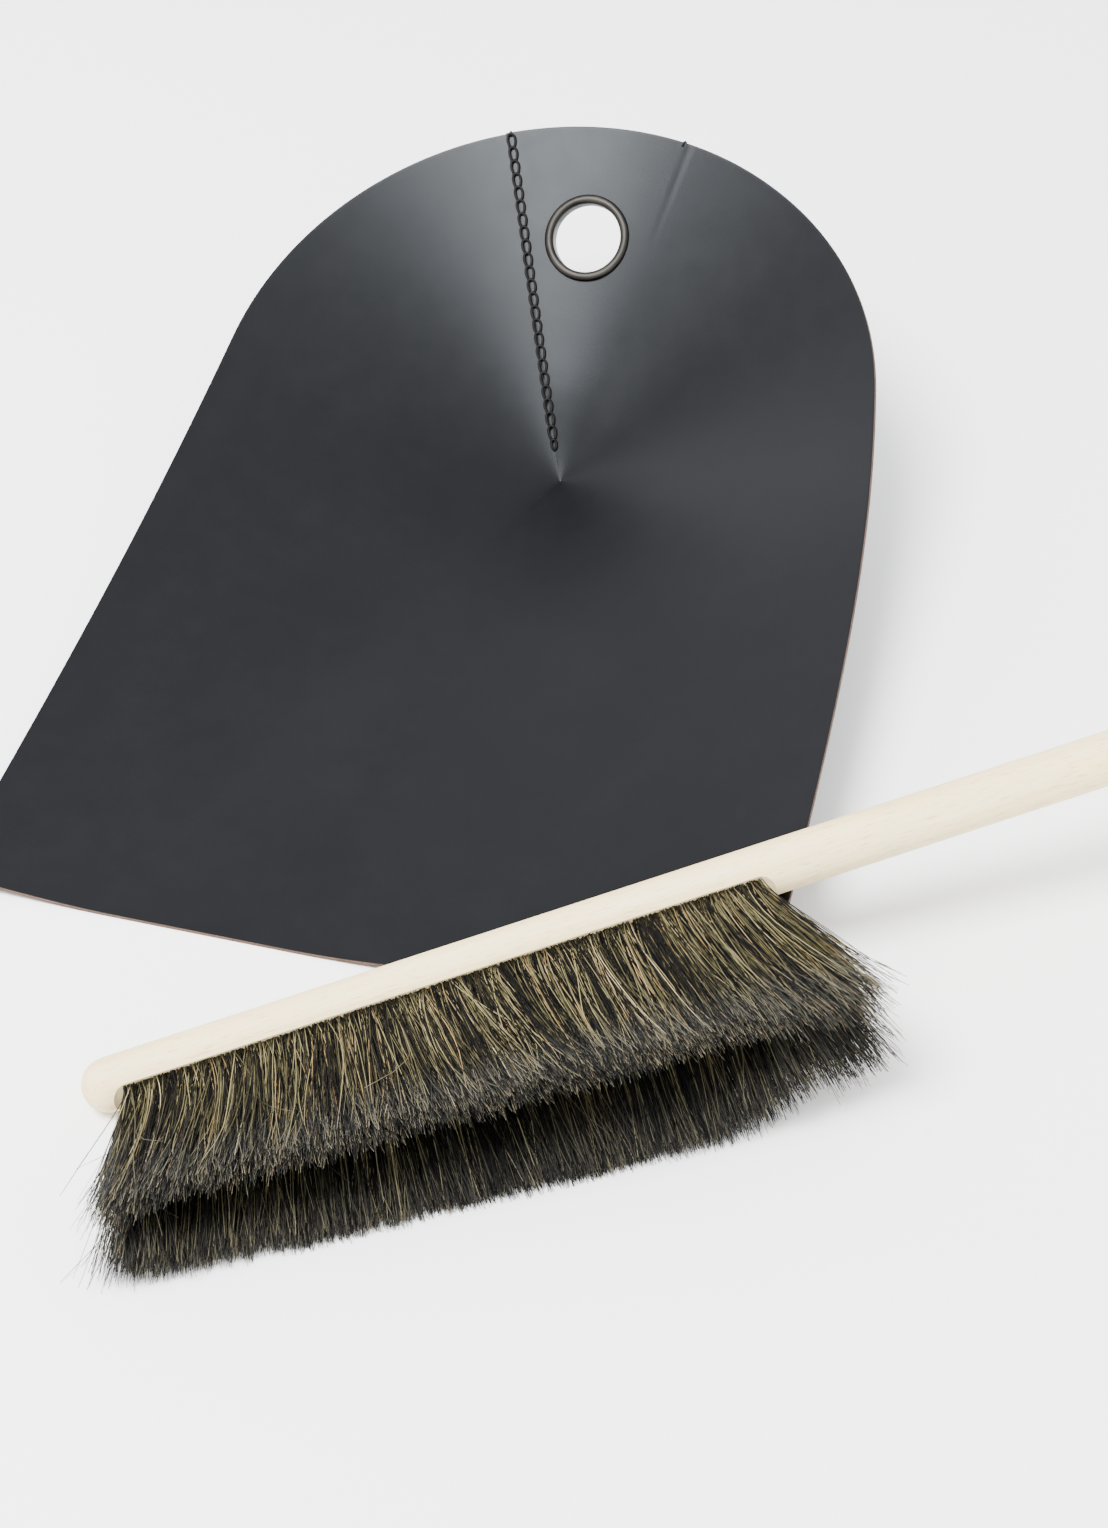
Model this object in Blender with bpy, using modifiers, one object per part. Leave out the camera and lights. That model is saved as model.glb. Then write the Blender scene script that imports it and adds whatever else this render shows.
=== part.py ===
"""Dust pan and hand brush.

The pan is one sheet of leather, cut as an arch with a slit from its round rear edge to the
centre of the arch. The slit's two sides overlap and are sewn, which rolls the flat sheet into
a shallow cone: a low front lip and a rear wall that leans back, with an eyelet to hang it by.
The brush is one turned stick with a flat milled along its head, and two rows of hair tufts
set in drilled holes in that flat. The brush lies across the pan's right front corner.

Metres, +Z up, floor at z = 0. Origin: the centre of the set's footprint, on the floor.
"""
import math

import bmesh
import bpy
from mathutils import Matrix, Vector

# ------------------------------------------------------------------ driving dimensions
# pan, flat pattern
ARCH_RADIUS = 0.175                  # rear semicircle, and half the width of the front part
FRONT_REACH = 0.335                  # slit's inner end to the straight front edge
SHEET = 0.0016                       # leather thickness
GAP = 0.0003                         # clearance between pieces that touch

# pan, rolled shape: three tangent arcs of the sphere of ruling directions
REAR_SLOPE = math.radians(48.5)      # lean of the rear wall, from the floor
FLAT_HALF_ANGLE = math.radians(6.0)  # the sector that lies flat on the floor
SHOULDER_RADIUS = math.radians(45.0)
REAR_RADIUS = math.radians(65.88)
REST_ANGLE = math.radians(-10.5)     # ruling that the pan rests on, from its centre line
PAN_YAW = math.radians(-15.0)

# slit and overlap
SLIT_START = 0.005                   # distance of the slit's inner end from the cone's apex
LAP_START = 0.013                    # the under-lap begins here, measured from the apex
CREASE_ANGLE = math.radians(2.6)     # width of the step over the hidden edge
COLUMN_ANGLE = math.radians(4.0)     # widest angle between two rulings of the mesh
MIDDLE_RING = 0.040                  # one more ring of points, at this distance from the apex

# eyelet
EYELET_DISTANCE = 0.1203             # apex to the eyelet's centre
EYELET_BORE = 0.0169
EYELET_WALL = 0.0007
EYELET_FLANGE = 0.0212
EYELET_SEAT = 0.0011                 # flange above the sheet, which curves up beside it
EYELET_HEIGHT = 0.0014
WASHER_THICKNESS = 0.0008
CURL_RADIUS = 0.0196
EYELET_EDGE = 0.0007                 # chamfer round the flange

# seam
THREAD_RADIUS = 0.0008
SEAM_INSET = 0.0019
STITCH_PITCH = 0.0065
SEAM_SPAN = (0.017, 0.172)           # distances of its two ends from the apex

# brush
STICK_RADIUS = 0.01075
STICK_REACH = 0.589                  # ball centre to the far end's centre
BALL_POINT = Vector((-0.1732, -0.3965, 0.0110))     # ball centre, from the pan's apex
BRUSH_AZIMUTH = math.radians(17.2)
BRUSH_PITCH = math.radians(8.05)
BRUSH_ROLL = math.radians(2.0)       # the tufts' mid plane points this far below level
FLAT_DEPTH = 0.0080                  # distance of the milled flat from the stick's axis
FLAT_LENGTH = 0.268                  # flat with its two run-outs
CUTTER_RADIUS = 0.0085

# tufts
TUFT_PAIRS = 19
TUFTS_PER_PAIR = 2
TUFT_MARGIN = 0.0050                 # first tuft's edge from the end of the flat
ROW_OFFSET = 0.0037
HAIR_LENGTH = 0.081
HOLE_RADIUS = 0.00235
HOLE_DEPTH = 0.0080
ROOT_RADIUS = 0.0020
ROOT_DEPTH = 0.0074
NECK = 0.0012                        # bare height between the flat and the spread hair
UPPER_PITCH = (math.radians(21.0), math.radians(10.0))      # ball end, handle end
LOWER_PITCH = math.radians(-11.0)
FAN = (math.radians(-19.0), math.radians(14.0))             # lean along the stick
UPPER_HALF = (0.0021, 0.0075)        # half thickness of a row at its root and its tip
LOWER_HALF = (0.0021, 0.0060)
FLOOR_CLEARANCE = 0.0004
PAN_CLEARANCE = 0.0009
RIM_MARGIN = 0.004                   # hair this far past the pan's rim still clears its top
HAIR_CHECKS = 12                     # places along a hair tested against what is below it
NEIGHBOUR = 0.012                    # and this far to either side of it
PAIR_INSET = 0.6 * GAP               # half the gap between neighbouring pairs of tufts
PAIR_SECTIONS = 3

OVERCUT = 0.002                      # a cutter runs this far past what it cuts
HOLE_CUTTER_DEPTH = 0.030
MERGE_DISTANCE = 0.00001

# the pan's apex in the set's frame
APEX = Vector((-0.0696, 0.1816, 0.0))

SET_NAME = "dust_pan_and_brush"


# ------------------------------------------------------------------ scene helpers
def clear_scene():
    for obj in list(bpy.data.objects):
        bpy.data.objects.remove(obj, do_unlink=True)


def new_collection(name):
    collection = bpy.data.collections.new(name)
    bpy.context.scene.collection.children.link(collection)
    return collection


def make_material(name, color, roughness, metallic=0.0):
    material = bpy.data.materials.new(name)
    material.use_nodes = True
    shader = material.node_tree.nodes["Principled BSDF"]
    shader.inputs["Base Color"].default_value = (*color, 1.0)
    shader.inputs["Roughness"].default_value = roughness
    shader.inputs["Metallic"].default_value = metallic
    return material


def add_object(name, data, collection, parent=None, material=None):
    obj = bpy.data.objects.new(name, data)
    collection.objects.link(obj)
    obj.parent = parent
    if material:
        data.materials.append(material)
    return obj


def add_mesh(name, bm, collection, parent=None, material=None):
    bmesh.ops.recalc_face_normals(bm, faces=bm.faces)
    mesh = bpy.data.meshes.new(name)
    bm.to_mesh(mesh)
    bm.free()
    return add_object(name, mesh, collection, parent, material)


def add_cutter(name, bm, collection, parent=None):
    cutter = add_mesh(name, bm, collection, parent)
    cutter.hide_render = True
    cutter.display_type = "WIRE"
    return cutter


def add_boolean(obj, cutter, operation):
    boolean = obj.modifiers.new(operation.lower(), "BOOLEAN")
    boolean.operation = operation
    boolean.object = cutter
    boolean.solver = "EXACT"


def smooth(mesh, angle=35.0):
    mesh.shade_smooth()
    mesh.set_sharp_from_angle(angle=math.radians(angle))


def turned(name, profile, steps, collection, parent, material):
    """A closed (radius, height) profile, listed anticlockwise, turned about local Z."""
    bm = bmesh.new()
    verts = [bm.verts.new((radius, 0.0, height)) for radius, height in reversed(profile)]
    for first, second in zip(verts, verts[1:] + verts[:1]):
        bm.edges.new((first, second))
    mesh = bpy.data.meshes.new(name)
    bm.to_mesh(mesh)
    bm.free()
    obj = add_object(name, mesh, collection, parent, material)
    screw = obj.modifiers.new("turn", "SCREW")
    screw.steps = steps
    screw.render_steps = steps
    screw.use_merge_vertices = True
    screw.merge_threshold = MERGE_DISTANCE
    screw.use_smooth_shade = True
    return obj


def ease(value):
    value = min(1.0, max(0.0, value))
    return value * value * (3.0 - 2.0 * value)


def mix(first, second, share):
    return first + (second - first) * share


# ------------------------------------------------------------------ the cone
class Cone:
    """A sheet rolled without stretching: straight rulings from one apex.

    A ruling is named by its developed angle t from the resting ruling. Its direction runs
    along three arcs on the unit sphere: the floor's great circle, a shoulder circle and a
    rear circle, each tangent to the next.
    """

    def __init__(self):
        lift = REAR_SLOPE + REAR_RADIUS
        flat = FLAT_HALF_ANGLE
        self.shoulder = Vector((math.cos(SHOULDER_RADIUS) * math.sin(flat),
                                -math.cos(SHOULDER_RADIUS) * math.cos(flat),
                                math.sin(SHOULDER_RADIUS)))
        self.rear = Vector((0.0, math.cos(lift), math.sin(lift)))
        toward = (self.shoulder - self.rear * self.shoulder.dot(self.rear)).normalized()
        self.first = Vector((math.sin(flat), -math.cos(flat), 0.0))
        self.second = self.rear * math.cos(REAR_RADIUS) + toward * math.sin(REAR_RADIUS)
        last = Vector((0.0, math.cos(REAR_SLOPE), math.sin(REAR_SLOPE)))
        self.flat_end = flat
        shoulder_turn = self.turn(self.shoulder, self.first, self.second)
        rear_turn = self.turn(self.rear, self.second, last)
        self.shoulder_end = flat + math.sin(SHOULDER_RADIUS) * shoulder_turn
        self.half = self.shoulder_end + math.sin(REAR_RADIUS) * rear_turn
        self.overlap = 2.0 * (math.pi - self.half)

    @staticmethod
    def turn(axis, start, end):
        start = start - axis * start.dot(axis)
        end = end - axis * end.dot(axis)
        return math.atan2(axis.dot(start.cross(end)), start.dot(end)) % (2.0 * math.pi)

    def frame(self, t):
        """Unit direction and inward normal of the ruling at developed angle t."""
        t = (t + self.half) % (2.0 * self.half) - self.half
        side = -1.0 if t < 0.0 else 1.0
        t = abs(t)
        if t <= self.flat_end:
            direction = Vector((math.sin(t), -math.cos(t), 0.0))
            normal = Vector((0.0, 0.0, 1.0))
        else:
            if t <= self.shoulder_end:
                axis, start, radius = self.shoulder, self.first, SHOULDER_RADIUS
                angle = (t - self.flat_end) / math.sin(radius)
            else:
                axis, start, radius = self.rear, self.second, REAR_RADIUS
                angle = (t - self.shoulder_end) / math.sin(radius)
            direction = Matrix.Rotation(angle, 3, axis) @ start
            normal = (axis - direction * math.cos(radius)) / math.sin(radius)
        direction.x *= side
        normal.x *= side
        return direction, normal


CONE = Cone()
TO_REST = Matrix.Rotation(REST_ANGLE, 3, "Z")


def pan_frame(u):
    """Ruling direction and normal at the flat pattern's angle u, zero at the front."""
    direction, normal = CONE.frame(u - REST_ANGLE)
    return TO_REST @ direction, TO_REST @ normal


def pan_point(u, radius, lift=0.0):
    direction, normal = pan_frame(u)
    return direction * radius + normal * lift


def rim_radius(u):
    """Distance from the apex to the arch's outline at angle u."""
    u = abs(u)
    if u >= math.pi / 2.0:
        return ARCH_RADIUS
    return min(ARCH_RADIUS / max(math.sin(u), 1e-9), FRONT_REACH / math.cos(u))


def lap_lift(u, radius):
    """Height of the upper lap above the sheet below it."""
    hidden_edge = math.pi - CONE.overlap
    across = ease((u - hidden_edge + CREASE_ANGLE) / (0.9 * CREASE_ANGLE))
    along = ease((radius - SLIT_START) / (LAP_START - SLIT_START))
    return (SHEET + GAP) * across * along


def pan_height(x, y):
    """Top of the sheet at a place given from the apex, in the set's frame, or None."""
    place = Matrix.Rotation(-PAN_YAW, 3, "Z") @ Vector((x, y, 0.0))
    azimuth = math.atan2(place.x, -place.y)
    low, high = -math.pi / 2.0, math.pi / 2.0
    for _ in range(40):
        middle = 0.5 * (low + high)
        direction = pan_frame(middle)[0]
        if math.atan2(direction.x, -direction.y) < azimuth:
            low = middle
        else:
            high = middle
    direction = pan_frame(low)[0]
    level = math.hypot(direction.x, direction.y)
    radius = place.length / level
    if radius > rim_radius(low) + RIM_MARGIN:
        return None
    return radius * direction.z + SHEET / level


# ------------------------------------------------------------------ pan
def column_angles(start, end, marks):
    """Angles from start to end, through every mark, at most COLUMN_ANGLE apart."""
    stops = [start] + sorted(m for m in marks if start < m < end) + [end]
    angles = [start]
    for first, second in zip(stops, stops[1:]):
        count = max(1, math.ceil((second - first) / COLUMN_ANGLE))
        angles += [mix(first, second, (step + 1) / count) for step in range(count)]
    return angles


def make_pan_sheet(collection, cutters, parent, material):
    corner = math.atan2(ARCH_RADIUS, FRONT_REACH)
    seam = math.pi - CONE.overlap            # the hidden edge, seen from the upper lap
    marks = [-math.pi / 2.0, -corner, corner, math.pi / 2.0,
             REST_ANGLE - FLAT_HALF_ANGLE, REST_ANGLE + FLAT_HALF_ANGLE,
             seam - CREASE_ANGLE, seam - 0.5 * CREASE_ANGLE, seam - 0.1 * CREASE_ANGLE]
    angles = column_angles(-seam, math.pi, marks)
    rings = [SLIT_START, LAP_START, MIDDLE_RING, None]

    bm = bmesh.new()
    apex = bm.verts.new((0.0, 0.0, 0.0))

    def column(u, upper_edge=False):
        verts = []
        for ring in rings:
            radius = rim_radius(u) if ring is None else ring
            angle = u - GAP / radius if upper_edge and radius > SLIT_START else u
            verts.append(bm.verts.new(pan_point(angle, radius, lap_lift(angle, radius))))
        return verts

    columns = [column(u, upper_edge=(u == angles[-1])) for u in angles]
    bm.verts.remove(columns[-1][0])          # the slit starts at one shared point
    columns[-1][0] = columns[0][0]
    for left, right in zip(columns, columns[1:]):
        bm.faces.new((apex, left[0], right[0]))
        for inner in range(len(rings) - 1):
            quad = (left[inner], left[inner + 1], right[inner + 1], right[inner])
            bm.faces.new(quad)

    under = [columns[0]]                     # the under-lap, from its fold to its cut edge
    for u in reversed(column_angles(-math.pi, -seam, [])[:-1]):
        under.append(column(u))
    for left, right in zip(under[1:], under):
        for inner in range(1, len(rings) - 1):
            bm.faces.new((left[inner], left[inner + 1], right[inner + 1], right[inner]))
    for verts in under[1:]:
        bm.verts.remove(verts[0])

    bm.normal_update()
    if apex.normal.z < 0.0:
        bmesh.ops.reverse_faces(bm, faces=bm.faces)
    mesh = bpy.data.meshes.new("pan_sheet")
    bm.to_mesh(mesh)
    bm.free()
    smooth(mesh, 50.0)
    sheet = add_object("pan_sheet", mesh, collection, parent, material)
    shell = sheet.modifiers.new("thickness", "SOLIDIFY")
    shell.thickness = SHEET
    shell.offset = 1.0

    hole = bmesh.new()
    hole_radius = EYELET_BORE + EYELET_WALL + GAP
    bmesh.ops.create_cone(hole, cap_ends=True, segments=48, radius1=hole_radius,
                          radius2=hole_radius, depth=HOLE_CUTTER_DEPTH)
    cutter = add_cutter("eyelet_hole", hole, cutters, parent)
    cutter.matrix_local = eyelet_matrix()
    add_boolean(sheet, cutter, "DIFFERENCE")


def eyelet_matrix():
    """Local Z along the sheet's normal at the eyelet, origin on the lowest layer's underside."""
    u = math.pi - 0.5 * CONE.overlap
    direction, normal = pan_frame(u)
    across = direction.cross(normal)
    matrix = Matrix((across, direction, normal)).transposed().to_4x4()
    matrix.translation = direction * EYELET_DISTANCE
    return matrix


def make_eyelet(collection, parent, material):
    stack = 2.0 * SHEET + GAP                # both layers of the overlap
    seat = stack + EYELET_SEAT
    top = seat + EYELET_HEIGHT
    barrel = EYELET_BORE + EYELET_WALL
    washer_top = -GAP
    washer_bottom = washer_top - WASHER_THICKNESS
    curl_top = washer_bottom - GAP
    curl_bottom = curl_top - EYELET_WALL
    lip = EYELET_EDGE
    ring = [(EYELET_BORE, curl_bottom), (CURL_RADIUS, curl_bottom), (CURL_RADIUS, curl_top),
            (barrel, curl_top), (barrel, seat), (EYELET_FLANGE, seat),
            (EYELET_FLANGE, top - lip), (EYELET_FLANGE - lip, top),
            (EYELET_BORE + lip, top), (EYELET_BORE, top - lip)]
    eyelet = turned("eyelet", ring, 48, collection, parent, material)
    eyelet.matrix_local = eyelet_matrix()
    washer_profile = [(barrel + GAP, washer_bottom), (EYELET_FLANGE, washer_bottom),
                      (EYELET_FLANGE, washer_top), (barrel + GAP, washer_top)]
    washer = turned("eyelet_washer", washer_profile, 48, collection, parent, material)
    washer.matrix_local = eyelet_matrix()


def make_seam_thread(collection, parent, material):
    """The chain stitch along the upper lap's cut edge, as one strand."""
    start, end = SEAM_SPAN
    count = round((end - start) / STITCH_PITCH)
    lift = 2.0 * (SHEET + GAP) + THREAD_RADIUS
    curve = bpy.data.curves.new("seam_thread_path", "CURVE")
    curve.dimensions = "3D"
    curve.bevel_depth = THREAD_RADIUS
    curve.bevel_resolution = 2
    curve.use_fill_caps = True
    spline = curve.splines.new("POLY")
    spline.points.add(count)
    for index, point in enumerate(spline.points):
        radius = mix(start, end, index / count)
        place = pan_point(math.pi - SEAM_INSET / radius, radius, lift)
        point.co = (*place, 1.0)
    guide = add_object("seam_thread_path", curve, collection, parent)
    mesh = bpy.data.meshes.new_from_object(guide.evaluated_get(bpy.context.evaluated_depsgraph_get()))
    bpy.data.objects.remove(guide)
    bm = bmesh.new()
    bm.from_mesh(mesh)
    bmesh.ops.remove_doubles(bm, verts=bm.verts, dist=MERGE_DISTANCE)
    bpy.data.meshes.remove(mesh)
    thread = add_mesh("seam_thread", bm, collection, parent, material)
    smooth(thread.data)


# ------------------------------------------------------------------ brush
def brush_matrix():
    """Local X along the stick, local -Y along the hair, local Z across the flat."""
    level = Vector((math.sin(BRUSH_AZIMUTH), -math.cos(BRUSH_AZIMUTH), 0.0))
    along = Vector((math.cos(BRUSH_AZIMUTH), math.sin(BRUSH_AZIMUTH), 0.0)) * math.cos(BRUSH_PITCH)
    along.z = math.sin(BRUSH_PITCH)
    up = level.cross(along)
    hair = level * math.cos(BRUSH_ROLL) - up * math.sin(BRUSH_ROLL)
    across = level * math.sin(BRUSH_ROLL) + up * math.cos(BRUSH_ROLL)
    matrix = Matrix((along, -hair, across)).transposed().to_4x4()
    matrix.translation = BALL_POINT
    return matrix


BRUSH = brush_matrix()
HEAD_START = TUFT_MARGIN
HEAD_END = FLAT_LENGTH - TUFT_MARGIN


def hair_path(s, row):
    """Root and tip, in the brush's frame, of the hair at s along the stick; row is 1 or -1."""
    share = (s - HEAD_START) / (HEAD_END - HEAD_START)
    fan = mix(FAN[0], FAN[1], share)
    root = Vector((s, -FLAT_DEPTH - NECK, row * ROW_OFFSET))
    world_root = BRUSH @ root
    level = Vector((math.sin(BRUSH_AZIMUTH), -math.cos(BRUSH_AZIMUTH), 0.0))
    along = BRUSH.to_3x3() @ Vector((1.0, 0.0, 0.0))
    heading = level * math.cos(fan) + along * math.sin(fan)
    half = UPPER_HALF if row > 0 else LOWER_HALF
    pitch = mix(UPPER_PITCH[0], UPPER_PITCH[1], share) if row > 0 else LOWER_PITCH

    def aim(angle):
        return heading * math.cos(angle) + Vector((0.0, 0.0, 1.0)) * math.sin(angle)

    def is_clear(angle):
        for step in range(1, HAIR_CHECKS + 1):
            reach = step / HAIR_CHECKS
            place = world_root + aim(angle) * (HAIR_LENGTH * reach)
            under = place.z - mix(half[0], half[1], reach)
            for beside in (-NEIGHBOUR, 0.0, NEIGHBOUR):
                pan_top = pan_height(place.x + along.x * beside, place.y + along.y * beside)
                if under < (FLOOR_CLEARANCE if pan_top is None else pan_top + PAN_CLEARANCE):
                    return False
        return True

    while not is_clear(pitch):
        pitch += math.radians(0.1)
    return root, BRUSH.inverted() @ (world_root + aim(pitch) * HAIR_LENGTH)


def make_stock(collection, cutters, parent, material):
    """One turned stick, hemispherical at both ends, with the milled flat and its holes."""
    arc_steps = 8
    profile = []
    for step in range(arc_steps + 1):
        angle = 0.5 * math.pi * step / arc_steps
        profile.append((-STICK_RADIUS * math.cos(angle), STICK_RADIUS * math.sin(angle)))
    profile += [(STICK_REACH - x, radius) for x, radius in reversed(profile)]
    bm = bmesh.new()
    verts = [bm.verts.new((x, 0.0, max(radius, 0.0))) for x, radius in profile]
    for first, second in zip(verts, verts[1:]):
        bm.edges.new((first, second))
    bmesh.ops.spin(bm, geom=bm.verts[:] + bm.edges[:], axis=(1.0, 0.0, 0.0), cent=(0.0, 0.0, 0.0),
                   angle=2.0 * math.pi, steps=40, use_merge=True)
    bmesh.ops.remove_doubles(bm, verts=bm.verts, dist=MERGE_DISTANCE)
    stock = add_mesh("brush_stock", bm, collection, parent, material)
    smooth(stock.data)
    add_boolean(stock, make_flat_cutter(cutters, parent), "DIFFERENCE")
    add_boolean(stock, make_hole_cutter(cutters, parent), "DIFFERENCE")


def make_flat_cutter(cutters, parent):
    """Side view of the milled flat: a floor with a cutter-radius run-out at each end."""
    depth = STICK_RADIUS + OVERCUT - FLAT_DEPTH
    sweep = math.acos(1.0 - (STICK_RADIUS - FLAT_DEPTH) / CUTTER_RADIUS)
    run_out = CUTTER_RADIUS * math.sin(sweep)
    outline = []
    steps = 6
    top = math.acos(1.0 - depth / CUTTER_RADIUS)
    for step in range(steps + 1):
        angle = mix(top, 0.0, step / steps)
        outline.append((run_out - CUTTER_RADIUS * math.sin(angle),
                        -FLAT_DEPTH - CUTTER_RADIUS * (1.0 - math.cos(angle))))
    outline += [(FLAT_LENGTH - x, y) for x, y in reversed(outline)]
    bm = bmesh.new()
    half_width = STICK_RADIUS + OVERCUT
    lower = [bm.verts.new((x, y, -half_width)) for x, y in outline]
    upper = [bm.verts.new((x, y, half_width)) for x, y in outline]
    bm.faces.new(lower)
    bm.faces.new(upper)
    for index in range(len(outline)):
        following = (index + 1) % len(outline)
        bm.faces.new((lower[index], lower[following], upper[following], upper[index]))
    return add_cutter("flat_cutter", bm, cutters, parent)


def tuft_centres():
    """Places of the tufts along the stick, in order from the ball end."""
    count = TUFT_PAIRS * TUFTS_PER_PAIR
    pitch = (HEAD_END - HEAD_START) / count
    return [HEAD_START + pitch * (index + 0.5) for index in range(count)]


def plug(bm, s, row, radius, inner, outer, segments=8):
    """A round peg across the flat, from inner to outer, both measured out from the axis."""
    turn = Matrix.Rotation(math.pi / 2.0, 4, "X")
    place = Matrix.Translation((s, -0.5 * (inner + outer), row * ROW_OFFSET))
    bmesh.ops.create_cone(bm, cap_ends=True, segments=segments, radius1=radius, radius2=radius,
                          depth=outer - inner, matrix=place @ turn)


def make_hole_cutter(cutters, parent):
    bm = bmesh.new()
    for row in (1, -1):
        for s in tuft_centres():
            plug(bm, s, row, HOLE_RADIUS, FLAT_DEPTH - HOLE_DEPTH, FLAT_DEPTH + OVERCUT)
    return add_cutter("hole_cutter", bm, cutters, parent)


def make_tuft_pair(name, row, pair, collection, cutters, parent, material):
    """Two neighbouring tufts: roots in their holes, hair spread into one fan."""
    width = (HEAD_END - HEAD_START) / TUFT_PAIRS
    half = UPPER_HALF if row > 0 else LOWER_HALF
    edges = []
    for s, inward in ((HEAD_START + width * pair, 1.0), (HEAD_START + width * (pair + 1), -1.0)):
        root, tip = hair_path(s, row)
        inset = Vector((inward * PAIR_INSET, 0.0, 0.0))
        edges.append((root + inset, tip + inset))
    bm = bmesh.new()
    sections = []
    for step in range(PAIR_SECTIONS + 1):
        share = step / PAIR_SECTIONS
        thick = Vector((0.0, 0.0, mix(half[0], half[1], share)))
        left = edges[0][0].lerp(edges[0][1], share)
        right = edges[1][0].lerp(edges[1][1], share)
        sections.append([bm.verts.new(place) for place in
                         (left - thick, right - thick, right + thick, left + thick)])
    bm.faces.new(sections[0])
    bm.faces.new(reversed(sections[-1]))
    for near, far in zip(sections, sections[1:]):
        for index in range(4):
            following = (index + 1) % 4
            bm.faces.new((near[index], far[index], far[following], near[following]))
    bmesh.ops.triangulate(bm, faces=bm.faces)
    tuft = add_mesh(name, bm, collection, parent, material)
    roots = bmesh.new()
    for s in tuft_centres()[pair * TUFTS_PER_PAIR:(pair + 1) * TUFTS_PER_PAIR]:
        plug(roots, s, row, ROOT_RADIUS, FLAT_DEPTH - ROOT_DEPTH, FLAT_DEPTH + NECK + OVERCUT)
    add_boolean(tuft, add_cutter(name + "_roots", roots, cutters, parent), "UNION")


# ------------------------------------------------------------------ assembly
def main():
    clear_scene()
    parts = new_collection(SET_NAME)
    cutters = new_collection("cutters")
    leather = make_material("black_leather", (0.030, 0.031, 0.034), 0.55)
    gunmetal = make_material("gunmetal", (0.10, 0.095, 0.09), 0.35, 1.0)
    thread = make_material("waxed_thread", (0.012, 0.012, 0.013), 0.6)
    beech = make_material("pale_beech", (0.80, 0.70, 0.56), 0.55)
    hair = make_material("mixed_hair", (0.13, 0.11, 0.07), 0.6)

    pan = add_object("pan", None, parts)
    pan.location = APEX
    pan.rotation_euler = (0.0, 0.0, PAN_YAW)
    brush = add_object("brush", None, parts)
    brush.matrix_world = Matrix.Translation(APEX) @ BRUSH

    make_pan_sheet(parts, cutters, pan, leather)
    make_eyelet(parts, pan, gunmetal)
    make_seam_thread(parts, pan, thread)
    make_stock(parts, cutters, brush, beech)
    for label, row in (("upper", 1), ("lower", -1)):
        for pair in range(TUFT_PAIRS):
            name = f"tufts_{label}_{pair + 1:02d}"
            make_tuft_pair(name, row, pair, parts, cutters, brush, hair)


main()
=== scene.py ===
"""Dust pan and hand brush: the finished look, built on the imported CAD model."""
import math

import bmesh
import bpy
import numpy as np
from mathutils import Matrix, Vector


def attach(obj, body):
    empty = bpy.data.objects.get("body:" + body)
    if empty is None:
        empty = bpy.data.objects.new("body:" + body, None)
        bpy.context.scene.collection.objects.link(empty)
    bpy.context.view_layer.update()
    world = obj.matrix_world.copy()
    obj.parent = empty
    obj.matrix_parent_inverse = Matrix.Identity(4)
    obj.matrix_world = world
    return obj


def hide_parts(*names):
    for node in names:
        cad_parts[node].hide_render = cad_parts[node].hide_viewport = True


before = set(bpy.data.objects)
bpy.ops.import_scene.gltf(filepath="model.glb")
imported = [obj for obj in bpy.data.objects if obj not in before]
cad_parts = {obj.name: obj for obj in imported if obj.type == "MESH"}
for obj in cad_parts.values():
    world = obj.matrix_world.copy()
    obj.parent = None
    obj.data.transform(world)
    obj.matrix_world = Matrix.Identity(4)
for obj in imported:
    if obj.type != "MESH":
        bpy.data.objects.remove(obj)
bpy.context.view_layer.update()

# ------------------------------------------------------------------ the pan, as in the CAD
ARCH_RADIUS = 0.175
FRONT_REACH = 0.335
SHEET = 0.0016
GAP = 0.0003
REAR_SLOPE = math.radians(48.5)
FLAT_HALF_ANGLE = math.radians(6.0)
SHOULDER_RADIUS = math.radians(45.0)
REAR_RADIUS = math.radians(65.88)
REST_ANGLE = math.radians(-10.5)
PAN_YAW = math.radians(-15.0)
APEX = Vector((-0.0696, 0.1816, 0.0))
SLIT_START = 0.005
LAP_START = 0.013
EYELET_DISTANCE = 0.1203
EYELET_BORE = 0.0169
EYELET_WALL = 0.0007
EYELET_FLANGE = 0.0212
EYELET_SEAT = 0.0011
EYELET_HEIGHT = 0.0014
WASHER_THICKNESS = 0.0008
CURL_RADIUS = 0.0196

# ------------------------------------------------------------------ the brush, as in the CAD
BALL_POINT = Vector((-0.1732, -0.3965, 0.0110))
BRUSH_AZIMUTH = math.radians(17.2)
BRUSH_PITCH = math.radians(8.05)
BRUSH_ROLL = math.radians(2.0)
FLAT_DEPTH = 0.0080
FLAT_LENGTH = 0.268
TUFT_MARGIN = 0.0050
TUFTS = 38
TUFT_NODES = 19                          # each CAD node holds two neighbouring tufts
ROW_OFFSET = 0.0037
HAIR_LENGTH = 0.081
NECK = 0.0012
UPPER_PITCH = (math.radians(21.0), math.radians(10.0))   # at the ball end and at the handle end
LOWER_PITCH = math.radians(-11.0)
UPPER_HALF = 0.0075                      # half thickness of a row at its tips
LOWER_HALF = (0.0021, 0.0060)            # at the roots and at the tips

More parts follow.
